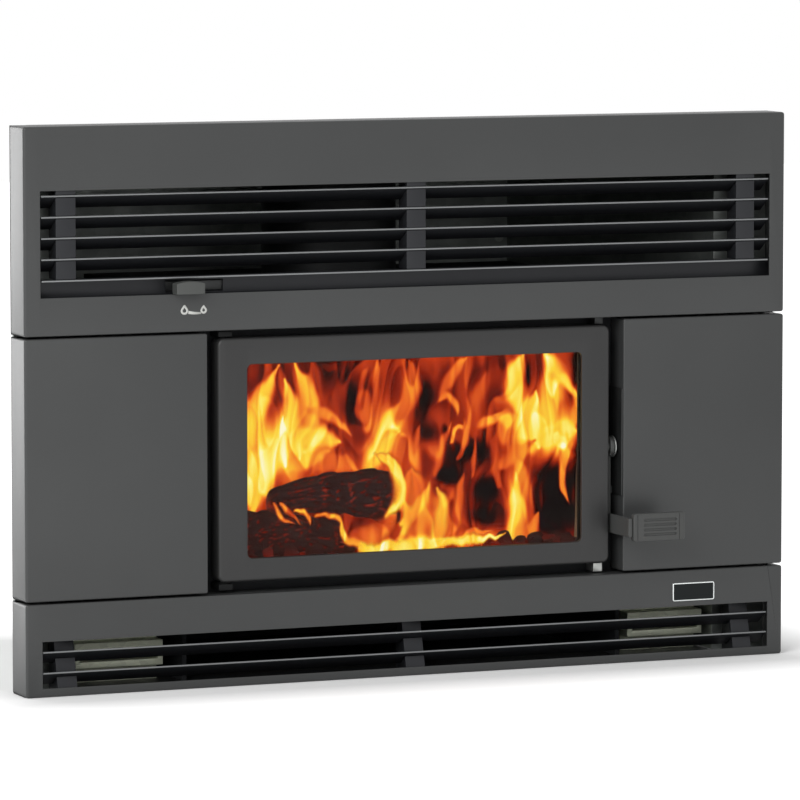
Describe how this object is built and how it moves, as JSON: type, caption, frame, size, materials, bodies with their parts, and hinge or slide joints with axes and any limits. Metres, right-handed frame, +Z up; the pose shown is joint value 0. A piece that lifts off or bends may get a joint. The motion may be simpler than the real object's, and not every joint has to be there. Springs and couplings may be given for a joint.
{
  "type": "fireplace insert",
  "caption": "Inset wood-burning fire with a folded steel fascia, upper and lower louvres, a glazed hinged door with a lever handle, an air slide and a convection casing with a flue collar.",
  "frame": {"origin": "underside of the base plate, in line with the wall face and the middle of the fascia", "axes": "+X to the viewer's right, +Y from the room into the chimney opening, +Z up"},
  "size_m": [0.9, 0.486, 0.61],
  "materials": {
    "charcoal_paint": "satin",
    "door_paint": "satin",
    "matt_black": "matt",
    "galvanised": "satin",
    "zinc": "satin",
    "silver_trim": "satin",
    "firebrick": "matt",
    "rope": "matt",
    "door_glass": "gloss"
  },
  "bodies": {
    "body": {"top_fascia_panel": "charcoal_paint", "left_fascia_panel": "charcoal_paint", "right_fascia_panel": "charcoal_paint", "bottom_fascia_panel": "charcoal_paint", "badge_plate": "silver_trim", "upper_louvre_blade_1": "charcoal_paint", "upper_louvre_blade_2": "charcoal_paint", "upper_louvre_blade_3": "charcoal_paint", "upper_louvre_blade_4": "charcoal_paint", "upper_louvre_post_left": "matt_black", "upper_louvre_post_centre": "matt_black", "upper_louvre_post_right": "matt_black", "lower_louvre_blade_1": "charcoal_paint", "lower_louvre_blade_2": "charcoal_paint", "lower_louvre_post_left": "matt_black", "lower_louvre_post_centre": "matt_black", "lower_louvre_post_right": "matt_black", "control_ledge": "charcoal_paint", "control_strip": "charcoal_paint", "base_plate": "galvanised", "casing_left_side": "galvanised", "casing_right_side": "galvanised", "casing_back": "galvanised", "casing_top": "galvanised", "firebox_front_plate": "matt_black", "firebox_left_wall": "matt_black", "firebox_right_wall": "matt_black", "firebox_back_wall": "matt_black", "firebox_floor_plate": "matt_black", "firebox_roof_plate": "matt_black", "flue_spigot": "matt_black", "left_firebrick": "firebrick", "right_firebrick": "firebrick", "back_firebrick": "firebrick", "floor_firebrick": "firebrick", "baffle_plate": "matt_black", "secondary_air_tube": "matt_black", "hinge_lug_top": "matt_black", "hinge_lug_bottom": "matt_black", "hinge_pin_top": "zinc", "hinge_pin_bottom": "zinc", "door_stop_lug_top": "zinc", "door_stop_lug_bottom": "zinc", "latch_keeper": "zinc", "left_blower_housing": "galvanised", "right_blower_housing": "galvanised"},
    "door": {"door_frame": "door_paint", "door_glass": "door_glass", "door_rope_seal": "rope", "glass_retainer_top": "matt_black", "glass_retainer_bottom": "matt_black", "lever_pivot_bolt": "zinc"},
    "lever": {"handle_lever": "matt_black", "handle_grip": "matt_black"},
    "air_slide": {"air_knob": "matt_black", "air_slide_bar": "zinc", "air_shutter": "zinc"},
    "left_rotor": {"left_blower_rotor": "galvanised"},
    "right_rotor": {"right_blower_rotor": "galvanised"}
  },
  "joints": [
    {"name": "door_hinge", "type": "hinge", "parent": "body", "child": "door", "pos_m": [-0.218, -0.028, 0.245], "axis": [0, 0, -1], "range_deg": [0, 110]},
    {"name": "handle_pull", "type": "hinge", "parent": "door", "child": "lever", "pos_m": [0.243, -0.0265, 0.241], "axis": [-1, 0, 0], "range_deg": [0, 25]},
    {"name": "air_slide_travel", "type": "slide", "parent": "body", "child": "air_slide", "axis": [1, 0, 0], "range_m": [-0.007, 0.035]},
    {"name": "left_rotor_spin", "type": "hinge", "parent": "body", "child": "left_rotor", "pos_m": [-0.325, 0.071, 0.0433], "axis": [1, 0, 0], "continuous": true},
    {"name": "right_rotor_spin", "type": "hinge", "parent": "body", "child": "right_rotor", "pos_m": [0.33, 0.071, 0.0433], "axis": [1, 0, 0], "continuous": true}
  ]
}
